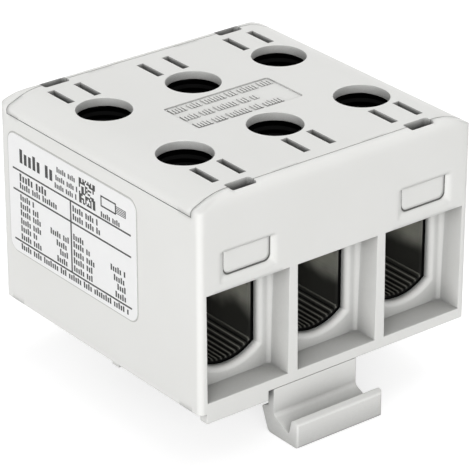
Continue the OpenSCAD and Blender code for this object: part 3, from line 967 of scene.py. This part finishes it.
@dataclass
class LabelPrint:
    """The black print on the label.

    Sizes are in millimetres; the print is read from the left side of the block.
    """

    ink: TransferInk = TransferInk()
    ink_t: float = 0.012
    rule_t: float = 0.34
    rules: tuple[float, ...] = (6.8, 10.9, 20.85)
    rule_start: float = 1.3
    rule_end: float = 36.9
    divider_at: float = 19.1
    divider_t: float = 0.4
    grid_corner: tuple[float, float] = (21.8, 1.25)
    grid_cells: int = 13
    grid_size: float = 4.8
    sleeve: tuple[float, float, float, float] = (28.2, 32.7, 2.3, 4.45)
    strands: tuple[float, float, float, float] = (32.7, 35.5, 2.75, 4.15)
    strand_count: int = 5
    outline_t: float = 0.3
    lines: tuple[PrintLine, ...] = tuple(PrintLine(*line) for line in (
        (3.6, 14.0, 3.8, Weight.TITLE), (15.1, 20.7, 2.3, Weight.FINE),
        (14.7, 21.4, 3.95, Weight.FINE), (14.4, 21.4, 5.5, Weight.FINE),
        (28.2, 34.1, 5.9, Weight.FINE), (3.4, 12.7, 8.05, Weight.HEAVY), (3.4, 15.0, 9.65),
        (19.7, 27.3, 8.05), (19.7, 28.4, 9.65), (3.4, 8.1, 12.0), (3.4, 9.5, 13.55),
        (3.4, 9.7, 15.0), (12.7, 18.5, 15.0), (3.4, 10.1, 16.65), (14.5, 18.5, 16.65),
        (3.4, 8.9, 18.15), (15.5, 18.5, 18.15), (3.4, 9.7, 19.75), (14.6, 18.5, 19.75),
        (19.7, 23.2, 13.55), (19.7, 25.2, 15.0), (30.8, 35.7, 15.0), (19.7, 26.2, 16.65),
        (31.7, 35.7, 16.65), (19.7, 25.6, 18.15), (32.7, 35.7, 18.15), (19.7, 25.9, 19.75),
        (32.1, 35.7, 19.75), (3.3, 36.0, 21.8),
    ))

    def __post_init__(self) -> None:
        """Reads where the label lies and starts its print."""
        low, high = (Vector(corner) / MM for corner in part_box("side_label"))
        self.face, self.back, self.top = low.x, high.y, high.z
        self.piece = MeshPiece("label_print")

    def patch(self, start: float, end: float, top: float, bottom: float) -> None:
        """Prints one rectangle.

        Args:
            start: Its left side, from the label's left edge.
            end: Its right side, from the label's left edge.
            top: Its upper side, below the label's top edge.
            bottom: Its lower side, below the label's top edge.
        """
        self.piece.block((self.face - self.ink_t, self.back - end, self.top - bottom),
                         (self.face + self.ink_t, self.back - start, self.top - top))

    def print_rules(self) -> None:
        """Prints the three level rules and the upright one."""
        half = self.rule_t / 2
        for drop in self.rules:
            self.patch(self.rule_start, self.rule_end, drop - half, drop + half)
        half = self.divider_t / 2
        self.patch(self.divider_at - half, self.divider_at + half, self.rules[0], self.rules[-1])

    def print_lines(self) -> None:
        """Prints the dummy lines."""
        for line in self.lines:
            height, stroke = line.weight.value
            for left, right, share in strokes(line.start, line.end, stroke):
                foot = line.drop + height / 2
                self.patch(left, right, foot - height * share, foot)

    def print_grid(self) -> None:
        """Prints a square of scattered cells, which spell nothing."""
        cell = self.grid_size / self.grid_cells
        for row in range(self.grid_cells):
            for column in range(self.grid_cells):
                # Arithmetic without a meaning, which leaves out nearly half of the cells
                if (3 * row * row + 5 * column + row * column * (column + 2)) % 11 > 5:
                    continue
                left = self.grid_corner[0] + column * cell
                top = self.grid_corner[1] + row * cell
                self.patch(left, left + cell, top, top + cell)

    def print_wire(self) -> None:
        """Prints the little picture of a stripped wire: a sleeve in outline and its strands."""
        left, right, top, bottom = self.sleeve
        t = self.outline_t
        self.patch(left, right, top, top + t)
        self.patch(left, right, bottom - t, bottom)
        self.patch(left, left + t, top, bottom)
        self.patch(right - t, right, top, bottom)
        left, right, top, bottom = self.strands
        step = (bottom - top) / (2 * self.strand_count - 1)
        for i in range(self.strand_count):
            self.patch(left, right, top + 2 * i * step, top + (2 * i + 1) * step)
        self.patch(right - t / 2, right, top, bottom)

    def build(self) -> None:
        """Prints the label."""
        self.print_rules()
        self.print_lines()
        self.print_grid()
        self.print_wire()
        printed = self.piece.finish(self.ink.build())
        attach(printed, "block")
        log.info("label_print: %d patches", len(self.piece.faces) // len(BLOCK_FACES))


def rounded_ring(
    low: float, high: float, bottom: float, top: float, radii: Sequence[float], steps: int = 6,
) -> list[Spot]:
    """Gives the outline of a rectangle with rounded corners.

    Args:
        low: Left side.
        high: Right side.
        bottom: Lower side.
        top: Upper side.
        radii: Corner radii, from the lower left corner anticlockwise.
        steps: Number of straight pieces in each corner.

    Returns:
        The outline's points, anticlockwise.
    """
    corners = ((low, bottom, 1, 1, 180), (high, bottom, -1, 1, 270),
               (high, top, -1, -1, 0), (low, top, 1, -1, 90))
    outline: list[Spot] = []
    for (x, y, to_x, to_y, turn), radius in zip(corners, radii):
        for i in range(steps + 1):
            angle = math.radians(turn + 90 * i / steps)
            outline.append((x + to_x * radius + radius * math.cos(angle),
                            y + to_y * radius + radius * math.sin(angle)))
    return outline


@dataclass(frozen=True)
class ShadedJoint(Finish):
    """Painted shade: a matt dark grey strip that stands for the shadow in a narrow joint.

    Light hardly leaves such a gap, so the strip gives a thin dark grey outline.
    """

    name: str = "polyamide_joint_painted_shade"
    colour: str = "#4E4E4C"
    speck_colour: str = "#5C5C59"
    # Paler specks, drawn 0.4 mm wide, vary the tone of the painted shade
    speck_mm: float = 0.4
    roughness: float = 0.85
    ior: float = 1.53

    def shade(self, tree: NodeTree, place: NodeSocket) -> Node:
        """Adds the nodes of the joint.

        Args:
            tree: Node tree of the material.
            place: Position on the part.

        Returns:
            The shader.
        """
        specks = add_node(tree, "TexNoise", {"Scale": per_metre(self.speck_mm)}, {"Vector": place})
        tone = add_node(
            tree, "Mix",
            {"data_type": "RGBA", FIRST: linear(self.colour), SECOND: linear(self.speck_colour)},
            {0: specks})
        return add_node(
            tree, "BsdfPrincipled", {"IOR": self.ior, "Roughness": self.roughness},
            {"Base Color": tone.outputs[MIXED]})


@dataclass
class LatchSeams:
    """Painted shade in the narrow joint round each catch of the cover, at both ends of the housing.

    Sizes are in millimetres.
    """

    finish: ShadedJoint = ShadedJoint()
    half_w: float = 5.05
    low: float = 24.95
    height: float = 4.8
    # The lower corners are round and the upper ones sharp
    corner_radii: tuple[float, ...] = (1.2, 1.2, 0.001, 0.001)
    # The painted shade fills the gaps beside and below each catch, and along its top it lies on the
    # face as a painted shadow line
    gap: float = 0.15
    low_gap: float = 0.3
    top_line: float = 0.22
    face_depth: float = 0.6
    proud: float = 0.01
    thick: float = 0.12

    def build(self) -> None:
        """Lays the painted shade of the four seams, as one piece."""
        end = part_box("base_housing")[1].y / MM
        piece = MeshPiece("latch_seams_painted_shade")
        top = self.low + self.height
        outer = rounded_ring(-self.half_w, self.half_w, self.low, top, self.corner_radii)
        inner = rounded_ring(
            -self.half_w + self.gap, self.half_w - self.gap,
            self.low + self.low_gap, top - self.top_line, self.corner_radii)
        face = end - self.face_depth
        for side in (-1, 1):
            for facing in (-1, 1):
                piece.band(
                    (outer, inner), (-self.thick, self.proud),
                    lambda x, z, lift, side=side, facing=facing: (
                        side * POLE_PITCH_MM + x, facing * (face + lift), z),
                    flip=facing > 0)
        seams = piece.finish(self.finish.build())
        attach(seams, "block")
        log.info("latch_seams_painted_shade: %d faces", len(piece.faces))


@dataclass
class LabelEdge:
    """A painted shadow of the label's edge, which stands round it as a thin grey line.

    Sizes are in millimetres.
    """

    finish: ShadedJoint = ShadedJoint(
        "polyester_film_edge_painted_shadow", "#ABABA8", "#B8B8B5", roughness=0.6, ior=1.57)
    corner_r: float = 2.0
    width: float = 0.28
    inner_lap: float = 0.05
    proud: float = 0.03
    thick: float = 0.06

    def build(self) -> None:
        """Lays the painted shadow round the label."""
        low, high = (Vector(corner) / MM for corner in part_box("side_label"))
        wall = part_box("base_housing")[0].x / MM
        outlines = [
            rounded_ring(low.y - out, high.y + out, low.z - out, high.z + out,
                         (self.corner_r + out,) * 4)
            for out in (self.width, -self.inner_lap)]
        piece = MeshPiece("label_edge_painted_shadow")
        piece.band(
            outlines, (self.proud - self.thick, self.proud),
            lambda y, z, lift: (wall - lift, y, z), flip=False)
        edge = piece.finish(self.finish.build())
        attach(edge, "block")
        log.info("label_edge_painted_shadow: %d faces", len(piece.faces))


@dataclass
class PocketMarks:
    """Raised strokes in the cover's marking pocket, three lines of them.

    Sizes are in millimetres.
    """

    lengths: tuple[float, ...] = (22.2, 16.5, 20.0)
    line_step: float = 3.65
    height: float = 2.0
    stroke: float = 0.42
    rise: float = 0.2
    root: float = 0.1
    inset: float = 0.55
    pocket_l: float = 23.4
    pocket_d: float = 0.25

    def build(self, plastic: Material) -> None:
        """Raises the strokes.

        Args:
            plastic: The cover's plastic.
        """
        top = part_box("top_cover")[1].z / MM
        floor = top - self.pocket_d
        left = -self.pocket_l / 2 + self.inset
        piece = MeshPiece("pocket_marks")
        middle = (len(self.lengths) - 1) / 2
        for row, length in enumerate(self.lengths):
            y = (middle - row) * self.line_step
            for x0, x1, share in strokes(left, left + length, self.stroke):
                foot = y - self.height / 2
                piece.block((x0, foot, floor - self.root),
                            (x1, foot + self.height * share, floor + self.rise))
        marks = piece.finish(plastic)
        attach(marks, "block")
        log.info("pocket_marks: %d strokes", len(piece.faces) // len(BLOCK_FACES))


@dataclass(frozen=True)
class Softbox:
    """One square studio lamp that looks at the block.

    azimuth is measured from the front towards the right, in degrees.
    """

    name: str
    azimuth: float
    elevation: float
    power: float
    size: float = 1.1
    distance: float = 1.5

    def build(self, target: Vector) -> None:
        """Hangs the lamp.

        Args:
            target: Point that it looks at, in metres.
        """
        lamp = bpy.data.lights.new(self.name, "AREA")
        lamp.shape = "SQUARE"
        lamp.size = self.size
        lamp.energy = self.power
        away = direction(self.azimuth, self.elevation)
        hung = bpy.data.objects.new(self.name, lamp)
        hung.location = target + away * self.distance
        hung.rotation_euler = away.to_track_quat("Z", "Y").to_euler()
        hung.visible_camera = False
        bpy.context.scene.collection.objects.link(hung)


def direction(azimuth: float, elevation: float) -> Vector:
    """Gives the unit vector from the block towards a place around it.

    Args:
        azimuth: Angle from the front towards the right, in degrees.
        elevation: Angle above the horizon, in degrees.

    Returns:
        The unit vector.
    """
    a, e = math.radians(azimuth), math.radians(elevation)
    return Vector((math.sin(a) * math.cos(e), -math.cos(a) * math.cos(e), math.sin(e)))


@dataclass
class Studio:
    """Floor, soft light and camera."""

    paper: PaperSweep = PaperSweep()
    floor_side: float = 6.0
    ambient: float = 0.3
    lamps: tuple[Softbox, ...] = (
        Softbox("front_lamp", -35, 5, 36.0, size=1.6),
        Softbox("left_lamp", -85, 3, 11.0, size=0.9),
        Softbox("right_lamp", 88, 9, 8.0),
        Softbox("high_lamp", 115, 50, 10.5),
        Softbox("rear_lamp", 178, 9, 9.0),
    )
    camera_at: Point = (-0.29586, -0.37815, 0.25031)
    camera_azimuth: float = -38.07
    camera_elevation: float = 26.20
    focal_mm: float = 227.69
    sensor_mm: float = 36.0
    clip_start: float = 0.01

    def lay_floor(self, height: float) -> None:
        """Lays the floor.

        Args:
            height: Height of the floor, in metres.
        """
        half = self.floor_side / 2
        mesh = bpy.data.meshes.new("floor")
        corners = ((-half, -half), (half, -half), (half, half), (-half, half))
        mesh.from_pydata([(x, y, height) for x, y in corners], [], [(0, 1, 2, 3)])
        mesh.materials.append(self.paper.build())
        floor = bpy.data.objects.new("floor", mesh)
        bpy.context.scene.collection.objects.link(floor)

    def fill_air(self) -> None:
        """Sets the even light around the block, white wherever it is seen or mirrored."""
        world = bpy.data.worlds.new("studio_air")
        world.use_nodes = True
        tree = world.node_tree
        tree.nodes.clear()
        strength = add_node(
            tree, "MapRange", {"To Min": self.ambient, "To Max": 1.0}, {"Value": seen_by_eye(tree)})
        air = add_node(tree, "Background", {"Color": (1.0, 1.0, 1.0, 1.0)}, {"Strength": strength})
        add_node(tree, "OutputWorld", {}, {"Surface": air})
        bpy.context.scene.world = world

    def place_camera(self) -> None:
        """Places the camera."""
        lens = bpy.data.cameras.new("camera")
        lens.sensor_width = self.sensor_mm
        lens.lens = self.focal_mm
        lens.clip_start = self.clip_start
        camera = bpy.data.objects.new("camera", lens)
        camera.location = self.camera_at
        away = direction(self.camera_azimuth, self.camera_elevation)
        camera.rotation_euler = away.to_track_quat("Z", "Y").to_euler()
        bpy.context.scene.collection.objects.link(camera)
        bpy.context.scene.camera = camera

    def build(self) -> None:
        """Sets up the whole studio around the block."""
        low, high = Vector(cad_box[0]), Vector(cad_box[1])
        self.lay_floor(low.z)
        self.fill_air()
        for lamp in self.lamps:
            lamp.build((low + high) / 2)
        self.place_camera()
        bpy.context.scene.view_settings.view_transform = "Standard"
        log.info("studio: %d lamps", len(self.lamps))


def main() -> None:
    """Dresses the block and sets up its studio."""
    logging.basicConfig(level=logging.INFO, format="%(name)s: %(message)s")
    plastic = Dressing(MouldedPlastic(), ("base_housing", "top_cover", "rail_clip")).dress()
    Dressing(PlatedExtrusion(), tuple(f"terminal_{pole}" for pole in POLES)).dress()
    ScrewSet().build()
    Dressing(CoatedFilm(), ("side_label",)).dress()
    LabelPrint().build()
    LabelEdge().build()
    LatchSeams().build()
    PocketMarks().build(plastic)
    Studio().build()


if __name__ == "__main__":
    main()
